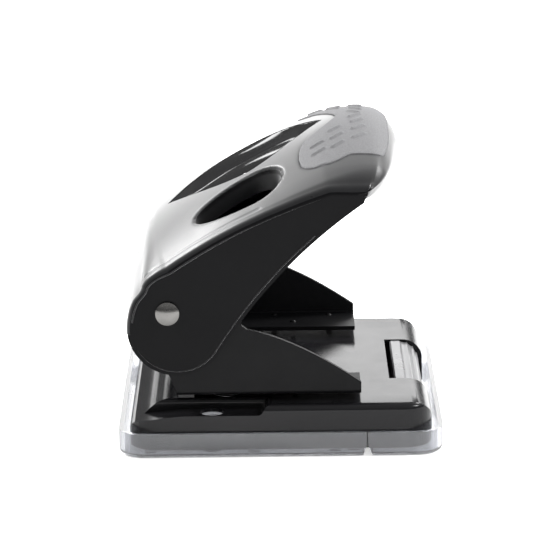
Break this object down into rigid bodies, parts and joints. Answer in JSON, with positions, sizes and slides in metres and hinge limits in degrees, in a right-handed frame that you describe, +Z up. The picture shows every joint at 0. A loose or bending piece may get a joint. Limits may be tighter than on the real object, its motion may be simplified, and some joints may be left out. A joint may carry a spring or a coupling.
{
  "type": "two-hole desk punch",
  "caption": "Hand lever desk punch: a wide hollow lever presses paired punch pins through paper into a pressed base on a translucent chip tray.",
  "frame": {"origin": "middle of the chip tray's underside, on the surface it stands on", "axes": "+X towards the front, where the paper goes in; +Y across the machine, along the line of the holes; +Z up"},
  "size_m": [0.12, 0.118, 0.1168],
  "materials": {
    "smoke_plastic": "translucent smoke grey, glossy",
    "base_enamel": "gloss black enamel",
    "frame_enamel": "semi-gloss black enamel",
    "dark_plastic": "matte dark grey",
    "dark_steel": "blackened",
    "steel": "ground steel",
    "spring_wire": "drawn wire",
    "pale_plastic": "natural acetal",
    "nickel": "polished nickel",
    "black_gloss": "gloss black",
    "inlay_gloss": "mirror-smooth black",
    "grey_rubber": "fine-grained mid grey",
    "button_plastic": "satin dark grey"
  },
  "bodies": {
    "base": {"chip_tray": "smoke_plastic", "flap_hinge_pins": "steel", "base_plate": "base_enamel", "side_frame_near": "frame_enamel", "side_frame_far": "frame_enamel", "paper_stop_near": "dark_plastic", "paper_stop_far": "dark_plastic", "frame_rivets": "dark_steel", "die_near": "steel", "die_far": "steel", "return_spring_near": "spring_wire", "return_spring_far": "spring_wire", "guide_bush_near": "pale_plastic", "guide_bush_far": "pale_plastic", "pivot_shaft": "steel", "pivot_cap_near": "nickel", "pivot_cap_far": "nickel", "pivot_washers": "pale_plastic", "button_carrier": "dark_plastic", "button_springs": "spring_wire"},
    "lever": {"lever_frame": "frame_enamel", "lever_cover": "black_gloss", "top_inlay": "inlay_gloss", "grip_pad": "grey_rubber", "press_beam": "dark_plastic", "cover_screws": "steel"},
    "punch_near": {"punch_pin_near": "steel", "pin_clip_near": "dark_steel"},
    "punch_far": {"punch_pin_far": "steel", "pin_clip_far": "dark_steel"},
    "flap": {"tray_flap": "smoke_plastic"},
    "button": {"release_button": "button_plastic"}
  },
  "joints": [
    {"name": "lever_hinge", "type": "hinge", "parent": "base", "child": "lever", "pos_m": [-0.0409, 0, 0.0549], "axis": [0, 1, 0], "range_deg": [0, 26], "stiffness_Nm_per_rad": 1.5, "springref_deg": -17.19},
    {"name": "punch_near_slide", "type": "slide", "parent": "base", "child": "punch_near", "axis": [0, 0, -1], "range_m": [0, 0.01], "deforming": ["return_spring_near"]},
    {"name": "punch_far_slide", "type": "slide", "parent": "base", "child": "punch_far", "axis": [0, 0, -1], "range_m": [0, 0.01], "deforming": ["return_spring_far"]},
    {"name": "flap_hinge", "type": "hinge", "parent": "base", "child": "flap", "pos_m": [0.0317, 0, 0.005], "axis": [0, 1, 0], "range_deg": [0, 28]},
    {"name": "button_slide", "type": "slide", "parent": "base", "child": "button", "axis": [0, 0, -1], "range_m": [0, 0.002], "stiffness_N_per_m": 400, "springref_m": -0.002, "deforming": ["button_springs"]}
  ],
  "couplings": [
    {"joint": "punch_near_slide", "follows": "lever_hinge", "m_per_rad": 0.022},
    {"joint": "punch_far_slide", "follows": "lever_hinge", "m_per_rad": 0.022}
  ]
}
